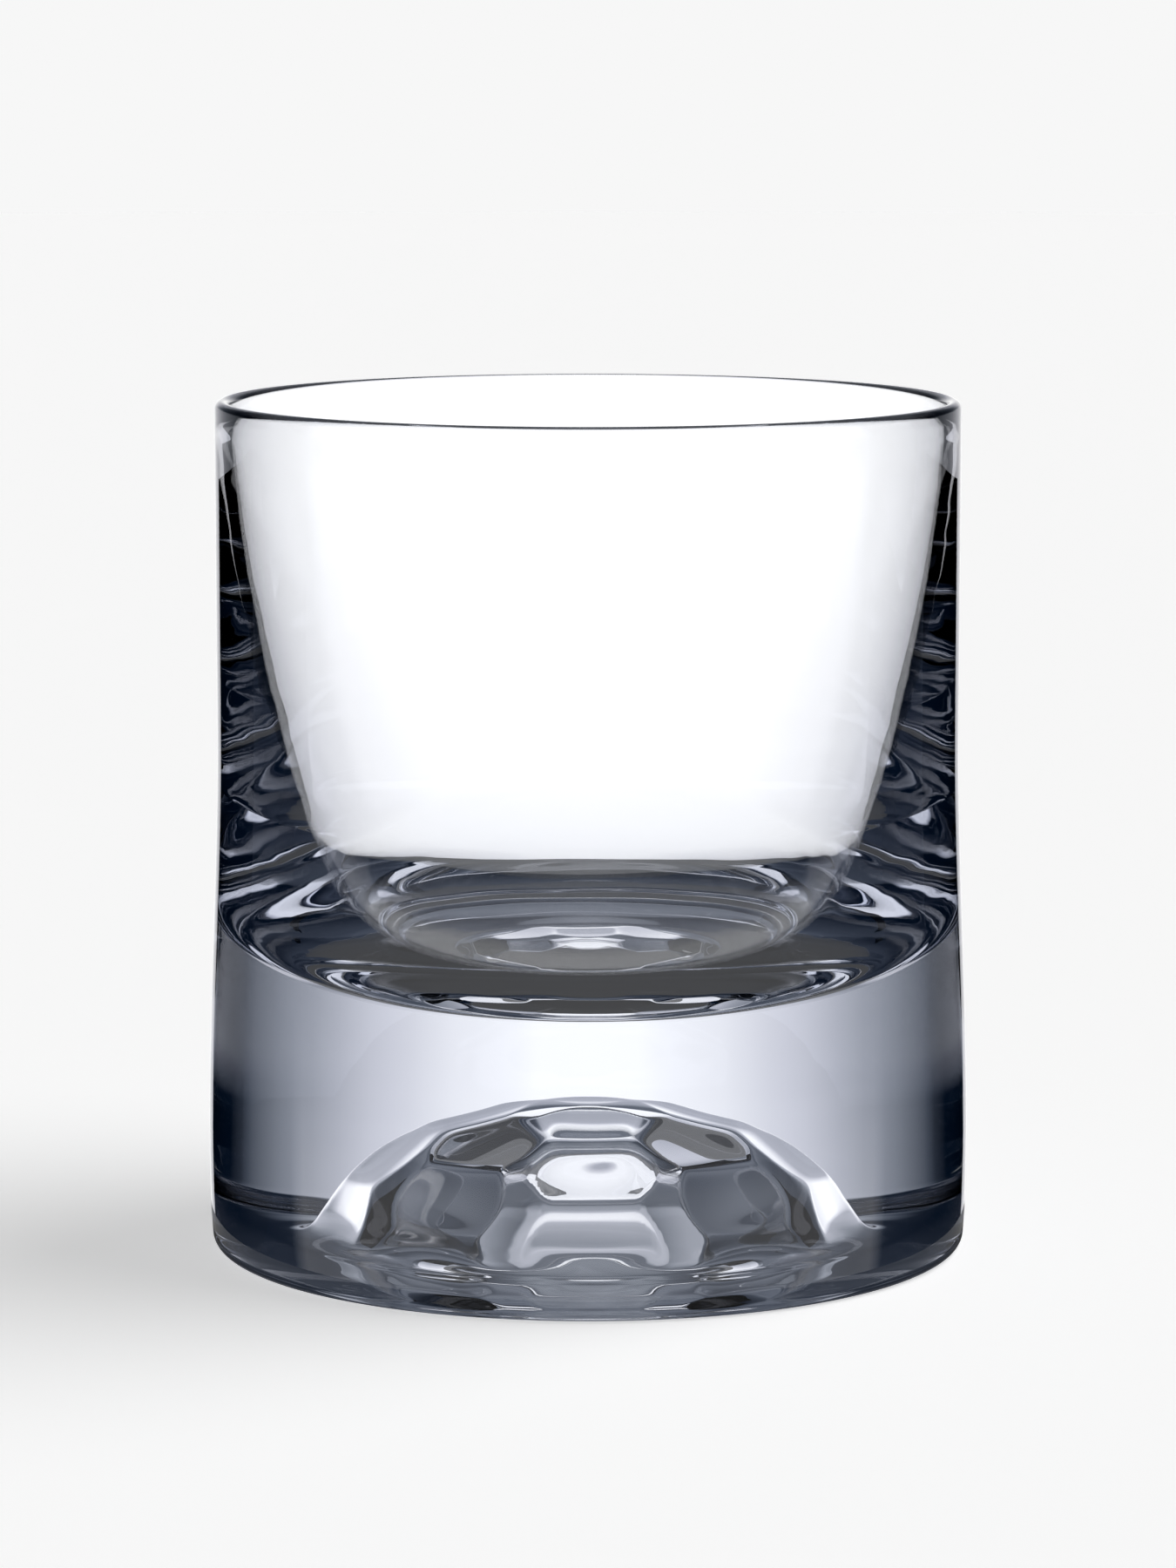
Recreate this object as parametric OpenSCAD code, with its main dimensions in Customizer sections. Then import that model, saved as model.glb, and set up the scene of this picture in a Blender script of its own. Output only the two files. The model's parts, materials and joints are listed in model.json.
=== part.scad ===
// Whiskey tumbler: one piece of clear glass with a thin wall, a tapered cavity and a thick base.
// A faceted hollow is pushed up into the base from below. Millimetres, +Z up, origin at the
// centre of the resting plane.

/* [Overall] */
// Height of the tumbler
height = 98; // [80:0.5:120]
// Outer diameter of the straight upper wall
wall_d = 85.4; // [70:0.2:104]
// Outer diameter at the widest level of the base
base_d = 88; // [71:0.2:106]
// Level of the widest part of the base
base_z = 13; // [6:0.5:20]
// Level at which the flare of the base meets the straight wall
flare_z = 60; // [36:1:76]

/* [Wall and cavity] */
// Wall thickness at the rim
rim_wall = 1.8; // [1.2:0.1:4]
// Height of the cavity's floor above the resting plane
floor_z = 28.6; // [23.8:0.2:36]
// How much the cavity's radius shrinks from rim to floor before the corner closes
cavity_draft = 12; // [6:0.5:15]
// How late the taper comes: higher keeps the upper wall thinner
taper_power = 1.8; // [1.2:0.1:2.6]
// Tightness of the corner at the floor: higher is flatter across the floor
corner_tight = 18; // [8:1:26]

/* [Foot] */
// Radius of the outer bottom edge
foot_round = 1.6; // [0.6:0.1:3]
// How far the wall tucks in between the widest level and the resting plane
foot_tuck = 0.3; // [0:0.1:1]
// Width of the flat ring that the tumbler rests on
ring_w = 3.2; // [1.5:0.1:5]

/* [Base hollow] */
// Level of the flat facet at the top of the hollow
hollow_h = 18.7; // [12:0.1:23]
// Radius of the ellipse that the facets touch
facet_r = 19.4; // [14:0.2:24]
// How far the top of that ellipse lies below the flat facet
ellipse_drop = 0.1; // [-1:0.1:0.6]
// Angle on the ellipse where the top row of facets touches it
first_facet = 67; // [58:0.5:74]
// Step down the ellipse from one row of facets to the next
row_step = 25.5; // [20:0.5:30]
// Turn of the facets about the axis
facet_turn = 1.5; // [-20:0.5:20]
// Height of the shallow dish around the faceted part
dish_h = 2; // [1:0.1:3]
// Extra rise where the dish curves up into the facets
sweep_h = 1; // [0.4:0.1:2]
// Distance over which that rise fades out
sweep_w = 1.6; // [0.8:0.1:3]

/* [Hidden] */
$fn = 144;
wall_r = wall_d / 2;
base_r = base_d / 2;
ring_out = base_r - foot_tuck - foot_round;
ring_in = ring_out - ring_w;
mouth_r = wall_r - rim_wall;
lip_r = rim_wall / 2;
lip_z = height - lip_r;
wall_steps = 14;
cavity_steps = 44;
arc_steps = 8;
dish_steps = 20;
corner_power = 0.4;
facet_columns = 8;
facet_rows = 3;
facet_h = hollow_h - ellipse_drop;
sweep_gap = 1.4;
sweep_r = facet_r + sweep_gap;
slack = 1;

// Smooth step from 0 to 1
function ease(t) = t * t * (3 - 2 * t);

// Outer radius at a level between the foot and the lip
function outer_r(z) =
    z > flare_z ? wall_r
    : z > base_z ? base_r - (base_r - wall_r) * ease((z - base_z) / (flare_z - base_z))
    : base_r - foot_tuck * pow((base_z - z) / base_z, 2);

// Cavity radius at a level between the floor and the lip
function cavity_r(z) =
    let (u = min(1, (lip_z - z) / (lip_z - floor_z)))
    (mouth_r - cavity_draft * pow(u, taper_power)) * pow(1 - pow(u, corner_tight), corner_power);

// Level of the underside between the ring and the facets
function dish_z(r) =
    dish_h * (1 - pow(r / ring_in, 4)) + sweep_h * exp((sweep_r - r) / sweep_w);

function foot_arc() = [
    for (i = [0 : arc_steps])
        let (a = -90 + 90 * i / arc_steps)
        [ring_out + foot_round * cos(a), foot_round + foot_round * sin(a)]
];

function outer_wall() = [
    for (i = [1 : wall_steps])
        let (z = foot_round + (lip_z - foot_round) * i / wall_steps)
        [outer_r(z), z]
];

function lip_arc() = [
    for (i = [1 : 2 * arc_steps - 1])
        let (a = 180 * i / (2 * arc_steps))
        [wall_r - lip_r + lip_r * cos(a), lip_z + lip_r * sin(a)]
];

// Steps bunch together towards the floor, where the corner turns fastest
function cavity_wall() = [
    for (i = [0 : cavity_steps])
        let (z = floor_z + (lip_z - floor_z) * pow(1 - i / cavity_steps, 2))
        [cavity_r(z), z]
];

function dish_line() = [
    for (i = [0 : dish_steps])
        let (r = sweep_r + (ring_in - sweep_r) * pow(i / dish_steps, 2))
        [r, i == dish_steps ? 0 : dish_z(r)]
];

// The glass before its base is hollowed
module blank() {
    rotate_extrude()
        polygon(concat([[0, 0]], foot_arc(), outer_wall(), lip_arc(), cavity_wall()));
}

// The shallow dish inside the resting ring
module dish() {
    rotate_extrude()
        polygon(concat(
            [[0, -slack], [0, dish_z(sweep_r)]], dish_line(), [[ring_in, -slack]]
        ));
}

// Everything outside one facet, which touches the ellipse at angle t
module outside_facet(t) {
    span = 4 * (facet_r + facet_h);
    lean = atan2(cos(t) / facet_r, sin(t) / facet_h);
    translate([facet_r * cos(t), 0, facet_h * sin(t)])
        rotate([0, lean, 0])
            translate([-span / 2, -span / 2, 0])
                cube(span);
}

// The faceted part of the hollow: the rows of odd columns sit half a step lower, so the
// facets interlock like a honeycomb
module facets() {
    difference() {
        translate([0, 0, -slack])
            cylinder(r = ring_in - slack, h = hollow_h + slack);
        for (i = [0 : facet_columns - 1])
            rotate(facet_turn - 90 + i * 360 / facet_columns)
                for (j = [0 : facet_rows - 1])
                    outside_facet(first_facet - row_step * (j + (i % 2) / 2));
    }
}

module glass_body() {
    color([0.9, 0.94, 0.97, 0.35])
        difference() {
            blank();
            dish();
            facets();
        }
}

glass_body();
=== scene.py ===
# Clear whiskey tumbler in a light tent: one glass body with a faceted hollow in its base
import json
import math
import bpy
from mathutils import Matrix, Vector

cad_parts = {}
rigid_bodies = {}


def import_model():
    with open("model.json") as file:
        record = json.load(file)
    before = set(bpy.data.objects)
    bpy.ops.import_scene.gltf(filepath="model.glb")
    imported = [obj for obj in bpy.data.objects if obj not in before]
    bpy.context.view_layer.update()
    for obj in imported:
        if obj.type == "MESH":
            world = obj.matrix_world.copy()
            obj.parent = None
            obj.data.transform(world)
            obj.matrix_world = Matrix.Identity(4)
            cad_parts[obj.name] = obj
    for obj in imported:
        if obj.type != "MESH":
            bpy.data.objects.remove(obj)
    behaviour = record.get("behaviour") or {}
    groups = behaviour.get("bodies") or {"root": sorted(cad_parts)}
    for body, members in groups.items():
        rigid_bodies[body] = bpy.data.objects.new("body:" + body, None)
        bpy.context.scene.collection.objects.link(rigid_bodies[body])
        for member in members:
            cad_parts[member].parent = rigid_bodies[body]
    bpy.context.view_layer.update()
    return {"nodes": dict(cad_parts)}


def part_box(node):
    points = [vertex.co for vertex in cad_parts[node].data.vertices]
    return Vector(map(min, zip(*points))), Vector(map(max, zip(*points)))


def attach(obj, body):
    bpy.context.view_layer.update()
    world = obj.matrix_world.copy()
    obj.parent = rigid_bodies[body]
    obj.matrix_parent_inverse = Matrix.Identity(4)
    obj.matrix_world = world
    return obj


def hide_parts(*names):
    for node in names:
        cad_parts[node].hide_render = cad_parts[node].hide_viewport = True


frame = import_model()
print("frame loaded:", len(frame["nodes"]), "node")

glassNode = "glass_body"
nodeLow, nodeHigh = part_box(glassNode)
mm = (nodeHigh[2] - nodeLow[2]) / 98  # the tumbler stands 98 mm tall
baseRadius = (nodeHigh[0] - nodeLow[0]) / 2 / mm


def deselectAll():
    if bpy.context.object and bpy.context.object.mode != "OBJECT":
        bpy.ops.object.mode_set(mode="OBJECT")
    bpy.ops.object.select_all(action="DESELECT")


def pickOnly(piece):
    deselectAll()
    piece.select_set(True)
    bpy.context.view_layer.objects.active = piece


def applyModifiers(piece):
    pickOnly(piece)
    for modifier in list(piece.modifiers):
        bpy.ops.object.modifier_apply(modifier=modifier.name)


cameraSet = {
    "distance": 651,  # millimetres
    "height": 145.2,
    "tilt": 0.14,  # radians below level
    "lens": 174.2,
    "sensor": 36,
}


def placeCamera(p):
    place = (0, -p["distance"] * mm, p["height"] * mm)
    bpy.ops.object.camera_add(location=place, rotation=(math.pi / 2 - p["tilt"], 0, 0))
    camera = bpy.context.object
    camera.name = "front_camera"
    camera.data.sensor_fit = "HORIZONTAL"
    camera.data.sensor_width = p["sensor"]
    camera.data.lens = p["lens"]
    camera.data.clip_start = 0.01
    bpy.context.scene.camera = camera


bodySet = {  # millimetres
    "height": 98,
    "wallRadius": 42.7,
    "beltHeight": 13,  # widest level of the base
    "flareTop": 60,
    "rimWall": 1.8,
    "floorHeight": 28.6,
    "draft": 12,
    "draftPower": 1.8,
    "bowlPower": 18,
    "cornerPower": 0.4,
    "footRound": 1.6,
    "footTuck": 0.3,
    "ringWidth": 3.2,
    "dishHeight": 2.0,
    "around": 300,
    "wallSteps": 36,
    "bowlSteps": 100,
    "lipSteps": 10,
    "footSteps": 8,
    "undersideSteps": 130,
}

hollowSet = {  # millimetres and degrees
    # line that the facets' outer corners touch, from the top of the hollow down to its foot
    "line": [(0, 18.9), (4.2, 18.6), (8.6, 17.4), (12.7, 15.2), (15.8, 12.5), (18.3, 8.9),
             (20, 5.2), (21.1, 2.9), (22.6, 2.0), (25, 1.75)],
    "height": 18.7,
    "facetRadius": 19.4,  # the facets touch an ellipse of this radius and height
    "facetHeight": 18.6,
    "firstFacet": 67,  # angle on that ellipse where the top row touches it
    "rowStep": 25.5,
    "rows": 3,
    "columns": 8,
    "turn": 1.5,
    "crown": 0.01,  # how much a facet bulges, per millimetre from its middle squared
    "ridge": 0.25,  # softness of the ridges between facets
    "fadeLow": 2.3,  # levels between which the facets die into the dish
    "fadeHigh": 5.5,
    "deepest": 4,  # more than any facet is pressed in
    "polish": 2,
    "polishRadius": 34,
}


def ease(t):
    return t * t * (3 - 2 * t)


def outerRadius(z, p):
    if z > p["flareTop"]:
        return p["wallRadius"]
    if z > p["beltHeight"]:
        rise = (z - p["beltHeight"]) / (p["flareTop"] - p["beltHeight"])
        return baseRadius - (baseRadius - p["wallRadius"]) * ease(rise)
    return baseRadius - p["footTuck"] * ((p["beltHeight"] - z) / p["beltHeight"]) ** 2


def cavityRadius(z, p):
    lipHeight = p["height"] - p["rimWall"] / 2
    u = min(1, (lipHeight - z) / (lipHeight - p["floorHeight"]))
    straight = p["wallRadius"] - p["rimWall"] - p["draft"] * u ** p["draftPower"]
    return straight * (1 - u ** p["bowlPower"]) ** p["cornerPower"]


def between(pairs, x):
    for (xa, ya), (xb, yb) in zip(pairs, pairs[1:]):
        if x <= xb:
            return ya + (yb - ya) * max(0, x - xa) / (xb - xa)
    return pairs[-1][1]


def curveThrough(points, steps):
    # smooth curve through the points, in even steps of its length
    fine = []
    padded = [points[0]] + points + [points[-1]]
    for i in range(len(points) - 1):
        p0, p1, p2, p3 = padded[i:i + 4]
        for j in range(12):
            t = j / 12
            fine.append(tuple(
                b + 0.5 * t * (c - a + t * (2 * a - 5 * b + 4 * c - d + t * (3 * b - a - 3 * c + d)))
                for a, b, c, d in zip(p0, p1, p2, p3)))
    fine.append(points[-1])
    lengths = [0]
    for a, b in zip(fine, fine[1:]):
        lengths.append(lengths[-1] + math.dist(a, b))
    radii = list(zip(lengths, [r for r, z in fine]))
    levels = list(zip(lengths, [z for r, z in fine]))
    marks = [lengths[-1] * i / steps for i in range(steps + 1)]
    return [(between(radii, mark), between(levels, mark)) for mark in marks]


def underside(p, h):
    ringIn = baseRadius - p["footTuck"] - p["footRound"] - p["ringWidth"]
    last = h["line"][-1][0]
    dish = [last + (ringIn - last) * t for t in (0.2, 0.4, 0.6, 0.8, 0.95, 1)]
    corners = h["line"] + [(r, p["dishHeight"] * (1 - (r / ringIn) ** 4)) for r in dish]
    return curveThrough(corners, p["undersideSteps"])


def bodyProfile(p, h):
    points = underside(p, h)
    ringOut = baseRadius - p["footTuck"] - p["footRound"]
    for i in range(p["footSteps"] + 1):
        a = math.radians(-90 + 90 * i / p["footSteps"])
        points.append((ringOut + p["footRound"] * math.cos(a), p["footRound"] * (1 + math.sin(a))))
    lipRadius = p["rimWall"] / 2
    lipHeight = p["height"] - lipRadius
    for i in range(1, p["wallSteps"] + 1):
        z = p["footRound"] + (lipHeight - p["footRound"]) * i / p["wallSteps"]
        points.append((outerRadius(z, p), z))
    for i in range(1, p["lipSteps"]):
        a = math.pi * i / p["lipSteps"]
        points.append((p["wallRadius"] - lipRadius * (1 - math.cos(a)), lipHeight + lipRadius * math.sin(a)))
    for i in range(p["bowlSteps"] + 1):
        z = p["floorHeight"] + (lipHeight - p["floorHeight"]) * (1 - i / p["bowlSteps"]) ** 2
        points.append((cavityRadius(z, p), z))
    return [(r * mm, z * mm) for r, z in points]


def spinBody(p, h):
    profile = bodyProfile(p, h)
    deselectAll()
    bpy.ops.mesh.primitive_plane_add(size=2 * mm, location=(0, 0, profile[0][1]))
    body = bpy.context.object
    body.name = "tumbler_glass"
    bpy.ops.object.transform_apply(location=True, rotation=True, scale=True)
    bpy.ops.object.mode_set(mode="EDIT")
    bpy.ops.mesh.merge(type="CENTER")
    for (r0, z0), (r1, z1) in zip(profile, profile[1:]):
        bpy.ops.mesh.extrude_vertices_move(TRANSFORM_OT_translate={"value": (r1 - r0, 0, z1 - z0)})
    bpy.ops.mesh.select_all(action="SELECT")
    bpy.ops.mesh.spin(steps=p["around"], angle=2 * math.pi, center=(0, 0, 0), axis=(0, 0, 1))
    bpy.ops.mesh.select_all(action="SELECT")
    bpy.ops.mesh.remove_doubles(threshold=0.002 * mm)
    bpy.ops.mesh.normals_make_consistent(inside=False)
    bpy.ops.object.mode_set(mode="OBJECT")
    return body


def facetPlanes(h):
    # middle and outward normal of each facet; rows of odd columns sit half a step lower
    planes = [((0, 0, h["height"]), (0, 0, 1))]
    for i in range(h["columns"]):
        azimuth = math.radians(h["turn"] - 90 + i * 360 / h["columns"])
        for j in range(h["rows"]):
            t = math.radians(h["firstFacet"] - h["rowStep"] * (j + 0.5 * (i % 2)))
            r, z = h["facetRadius"] * math.cos(t), h["facetHeight"] * math.sin(t)
            tilt = math.atan2(math.sin(t) / h["facetHeight"], math.cos(t) / h["facetRadius"])
            flat = math.cos(tilt)
            planes.append(((r * math.cos(azimuth), r * math.sin(azimuth), z),
                           (flat * math.cos(azimuth), flat * math.sin(azimuth), math.sin(tilt))))
    return planes


def facetDepth(place, inward, planes, h):
    # how far a point of the smooth hollow moves inward to reach the facets
    depths = []
    for middle, normal in planes:
        facing = -sum(n * v for n, v in zip(normal, inward))
        if facing > 0.2:
            gap = [a - b for a, b in zip(place, middle)]
            reach = sum(n * g for n, g in zip(normal, gap)) - h["crown"] * sum(g * g for g in gap)
            depths.append(reach / facing)
    most = max(depths)
    return most + h["ridge"] * math.log(sum(math.exp((d - most) / h["ridge"]) for d in depths))


def pressHollow(body, h):
    planes = facetPlanes(h)
    facetGroup = body.vertex_groups.new(name="facets")
    softGroup = body.vertex_groups.new(name="soft")
    for v in body.data.vertices:
        place = [c / mm for c in v.co]
        if math.hypot(place[0], place[1]) < h["polishRadius"] and place[2] < h["height"] + 1:
            softGroup.add([v.index], 1, "REPLACE")
            fade = ease(min(1, max(0, (place[2] - h["fadeLow"]) / (h["fadeHigh"] - h["fadeLow"]))))
            if fade > 0:
                depth = fade * facetDepth(place, v.normal, planes, h)
                facetGroup.add([v.index], min(1, max(0, depth / h["deepest"])), "REPLACE")
    press = body.modifiers.new("press", "DISPLACE")
    press.mid_level = 0
    press.strength = h["deepest"] * mm
    press.vertex_group = "facets"
    polish = body.modifiers.new("polish", "SMOOTH")
    polish.factor = 0.5
    polish.iterations = h["polish"]
    polish.vertex_group = "soft"
    applyModifiers(body)
    body.vertex_groups.clear()
    pickOnly(body)
    bpy.ops.object.shade_smooth()


crystalSet = {
    "tint": (0.985, 0.99, 1.0, 1),
    "index": 1.52,
    "depthTint": (0.46, 0.52, 0.68, 1),
    "depthDensity": 4.0,  # per metre
    "waveScale": 55,  # per metre
    "waveStretch": (1, 1, 3.2),  # the waves lie along the rim's direction
    "waveDepth": 0.000035,  # metres
    "hazeFrom": 0.45,  # where in the noise the haze begins and is full
    "hazeFull": 0.75,
    "hazeLow": 0.0,
    "hazeHigh": 0.012,
}


def crystalGlass(p):
    material = bpy.data.materials.new("clear_crystal")
    material.use_nodes = True
    nodes, links = material.node_tree.nodes, material.node_tree.links
    glass = nodes["Principled BSDF"]
    glass.inputs["Base Color"].default_value = p["tint"]
    glass.inputs["IOR"].default_value = p["index"]
    glass.inputs["Transmission Weight"].default_value = 1
    # faint waves left by the mould and the flame
    place = nodes.new("ShaderNodeTexCoord")
    stretch = nodes.new("ShaderNodeMapping")
    stretch.inputs["Scale"].default_value = p["waveStretch"]
    links.new(place.outputs["Object"], stretch.inputs["Vector"])
    wave = nodes.new("ShaderNodeTexNoise")
    wave.inputs["Scale"].default_value = p["waveScale"]
    wave.inputs["Detail"].default_value = 1
    links.new(stretch.outputs["Vector"], wave.inputs["Vector"])
    bump = nodes.new("ShaderNodeBump")
    bump.inputs["Strength"].default_value = 1
    bump.inputs["Distance"].default_value = p["waveDepth"]
    links.new(wave.outputs["Fac"], bump.inputs["Height"])
    links.new(bump.outputs["Normal"], glass.inputs["Normal"])
    # a little haze in patches
    cloud = nodes.new("ShaderNodeTexNoise")
    cloud.inputs["Scale"].default_value = p["waveScale"] * 3
    links.new(place.outputs["Object"], cloud.inputs["Vector"])
    haze = nodes.new("ShaderNodeMapRange")
    haze.inputs["From Min"].default_value = p["hazeFrom"]
    haze.inputs["From Max"].default_value = p["hazeFull"]
    haze.inputs["To Min"].default_value = p["hazeLow"]
    haze.inputs["To Max"].default_value = p["hazeHigh"]
    links.new(cloud.outputs["Fac"], haze.inputs["Value"])
    links.new(haze.outputs["Result"], glass.inputs["Roughness"])
    depth = nodes.new("ShaderNodeVolumeAbsorption")
    depth.inputs["Color"].default_value = p["depthTint"]
    depth.inputs["Density"].default_value = p["depthDensity"]
    links.new(depth.outputs["Volume"], nodes["Material Output"].inputs["Volume"])
    return material


blackPaper = 0.002  # what the darkest cards still reflect

stageSet = {
    "radius": 3.0,  # metres
    "paper": 0.93,
    "floorGlow": 0.58,  # the part of the floor's brightness that no shadow takes away
    "backdropGlow": 0.93,
}


def glowingMaterial(name, glow, paper):
    material = bpy.data.materials.new(name)
    material.use_nodes = True
    surface = material.node_tree.nodes["Principled BSDF"]
    surface.inputs["Base Color"].default_value = (paper, paper, paper, 1)
    surface.inputs["Roughness"].default_value = 1
    surface.inputs["Specular IOR Level"].default_value = 0
    surface.inputs["Emission Color"].default_value = (1, 1, 1, 1)
    surface.inputs["Emission Strength"].default_value = glow
    return material


def buildStage(p):
    deselectAll()
    bpy.ops.mesh.primitive_circle_add(vertices=128, radius=p["radius"], fill_type="NGON")
    floor = bpy.context.object
    floor.name = "pale_floor"
    floor.data.materials.append(glowingMaterial("floor_paper", p["floorGlow"], p["paper"]))
    bpy.ops.mesh.primitive_uv_sphere_add(segments=64, ring_count=32, radius=p["radius"])
    dome = bpy.context.object
    dome.name = "pale_backdrop"
    dome.data.materials.append(glowingMaterial("backdrop_glow", p["backdropGlow"], 0))
    for thing in (floor, dome):  # both are there for the camera alone
        thing.visible_transmission = thing.visible_glossy = thing.visible_diffuse = False
        thing.visible_shadow = False


lightSet = {
    # brightness of the panel by degrees away from straight behind the glass, and by elevation
    "behind": [(0, 1), (5, 0.99), (7, 0.93), (13.7, 0.815), (19, 0.656), (24, 0.546), (29.5, 0.4),
               (34.4, 0.295), (39.3, 0.23), (45, 0.155), (51, 0.09), (56, 0.025), (62, 0)],
    "upward": [(-78, 0), (-66, 0.9), (-12, 1), (3, 1), (11, 0.42), (26, 0.34), (34, 0.12), (45, 0.1),
               (60, 0.15), (90, 0.2)],
    # above this elevation the panel narrows
    "narrowFrom": [(2, 1), (8, 0)],
    "narrowTurn": [(0, 1), (13, 1), (22, 0.35), (36, 0.1), (180, 0.1)],
    # other lights by elevation and by azimuth: the table, then two low down at the sides and behind
    # the camera, which keep the glass clear from there
    "lobes": [
        ([(-90, 0.02), (-60, 0.02), (-46, 0.2), (-26, 0.2), (-14, 0)],
         [(0, 1), (30, 0.8), (60, 0.2), (90, 0.08), (130, 0.08)]),
        ([(-47, 0), (-42, 0.75), (-23, 0.75), (-17, 0)],
         [(30, 0), (42, 0.75), (55, 0.75), (62, 0.1), (77, 0.1), (83, 0.85), (180, 0.85)]),
        ([(-47, 0), (-42, 0.75), (-12, 0.75), (-7, 0)],
         [(79, 0), (85, 1), (180, 1)]),
    ],
    "top": [(10, 0), (28, 0.03), (42, 0.05), (60, 0.12), (90, 0.18)],  # light from above by elevation
    "tones": [(0, (0.001, 0.004, 0.0107)), (0.067, (0.057, 0.067, 0.087)), (0.2, (0.198, 0.214, 0.245)),
              (0.4, (0.4, 0.41, 0.453)), (0.6, (0.6, 0.604, 0.65)), (1, (1, 1, 1))],
    "strength": 1.3,
    "sunTurn": (-4, 38),  # degrees
    "sunStrength": 1.5,
    "sunSpread": 54,
}


def lightField(p):
    world = bpy.data.worlds.new("light_tent")
    bpy.context.scene.world = world
    world.use_nodes = True
    world.cycles_visibility.diffuse = False
    nodes, links = world.node_tree.nodes, world.node_tree.links

    def maths(operation, *values):
        n = nodes.new("ShaderNodeMath")
        n.operation = operation
        for socket, value in zip(n.inputs, values):
            if isinstance(value, (int, float)):
                socket.default_value = value
            else:
                links.new(value, socket)
        return n.outputs[0]

    def ramp(value, stops, low=0, high=1):
        n = nodes.new("ShaderNodeValToRGB")
        while len(n.color_ramp.elements) < len(stops):
            n.color_ramp.elements.new(0.5)
        for element, (at, tone) in zip(n.color_ramp.elements, stops):
            element.position = (at - low) / (high - low)
            element.color = (tone if isinstance(tone, tuple) else (tone,) * 3) + (1,)
        links.new(maths("DIVIDE", maths("SUBTRACT", value, low), high - low), n.inputs[0])
        return n.outputs[0]

    split = nodes.new("ShaderNodeSeparateXYZ")
    links.new(nodes.new("ShaderNodeTexCoord").outputs["Generated"], split.inputs[0])
    x, y, z = split.outputs
    aside = maths("DEGREES", maths("ABSOLUTE", maths("ARCTAN2", x, y)))
    level = maths("DEGREES", maths("ARCSINE", z))
    panel = maths("MULTIPLY", ramp(aside, p["behind"], 0, 90), ramp(level, p["upward"], -90, 90))
    narrow = maths("MAXIMUM", ramp(level, p["narrowFrom"], -90, 90), ramp(aside, p["narrowTurn"], 0, 180))
    tone = maths("MAXIMUM", maths("MULTIPLY", panel, narrow), ramp(level, p["top"], -90, 90))
    for levels, turns in p["lobes"]:
        lobe = maths("MULTIPLY", ramp(level, levels, -90, 90), ramp(aside, turns, 0, 180))
        tone = maths("MAXIMUM", tone, lobe)
    links.new(ramp(tone, p["tones"]), nodes["Background"].inputs["Color"])
    nodes["Background"].inputs["Strength"].default_value = p["strength"]


# painted shadow of the glass on the table: brightness of the table right under the glass and around it,
# darkest right under it, seen through the glass alone
shadowDiscSet = {"level": -0.5, "rings": [(46.5, 0.07), (53, 0.2)]}  # millimetres


def layPaintedTableShadow(p):
    for i, (radius, glow) in enumerate(p["rings"]):
        deselectAll()
        bpy.ops.mesh.primitive_circle_add(vertices=96, radius=radius * mm, fill_type="NGON",
                                          location=(0, 0, p["level"] * (i + 1) * mm))
        patch = bpy.context.object
        patch.name = "painted_shadow_disc"
        bpy.ops.object.transform_apply(location=True, rotation=True, scale=True)
        # each disc's grey glow is painted shadow, darker in the inner disc right under the glass
        patch.data.materials.append(glowingMaterial("painted_table_shadow", glow, blackPaper))
        patch.visible_camera = patch.visible_diffuse = patch.visible_shadow = False


flagSet = {  # millimetres; black cards behind the glass darken its edges
    "near": 64,
    "behind": 52,
    "cards": [(140, 24, 84), (420, -40, 24)],  # far edge, low edge and high edge of each
}


def hangFlags(p):
    for side in (-1, 1):
        for far, low, high in p["cards"]:
            deselectAll()
            bpy.ops.mesh.primitive_plane_add(size=1, rotation=(math.pi / 2, 0, 0), location=(
                side * (p["near"] + far) / 2 * mm, p["behind"] * mm, (low + high) / 2 * mm))
            flag = bpy.context.object
            flag.name = "black_flag"
            flag.scale = ((far - p["near"]) * mm, (high - low) * mm, 1)
            bpy.ops.object.transform_apply(location=True, rotation=True, scale=True)
            flag.data.materials.append(glowingMaterial("black_card", 0, blackPaper))
            flag.visible_camera = flag.visible_diffuse = flag.visible_shadow = False


def lightFloor(p):
    bpy.ops.object.light_add(type="SUN", rotation=[math.radians(a) for a in p["sunTurn"]] + [0])
    sun = bpy.context.object
    sun.name = "top_light"
    sun.data.energy = p["sunStrength"]
    sun.data.angle = math.radians(p["sunSpread"])
    sun.visible_transmission = sun.visible_glossy = False


placeCamera(cameraSet)
body = spinBody(bodySet, hollowSet)
pressHollow(body, hollowSet)
body.data.materials.append(crystalGlass(crystalSet))
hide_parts(glassNode)
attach(body, "root")
print("glass body:", len(body.data.polygons), "faces")

buildStage(stageSet)
lightField(lightSet)
layPaintedTableShadow(shadowDiscSet)
hangFlags(flagSet)
lightFloor(lightSet)
scene = bpy.context.scene
scene.view_settings.view_transform = "Standard"
scene.cycles.max_bounces = 24
scene.cycles.transmission_bounces = 24
scene.cycles.glossy_bounces = 16
print("studio lit")
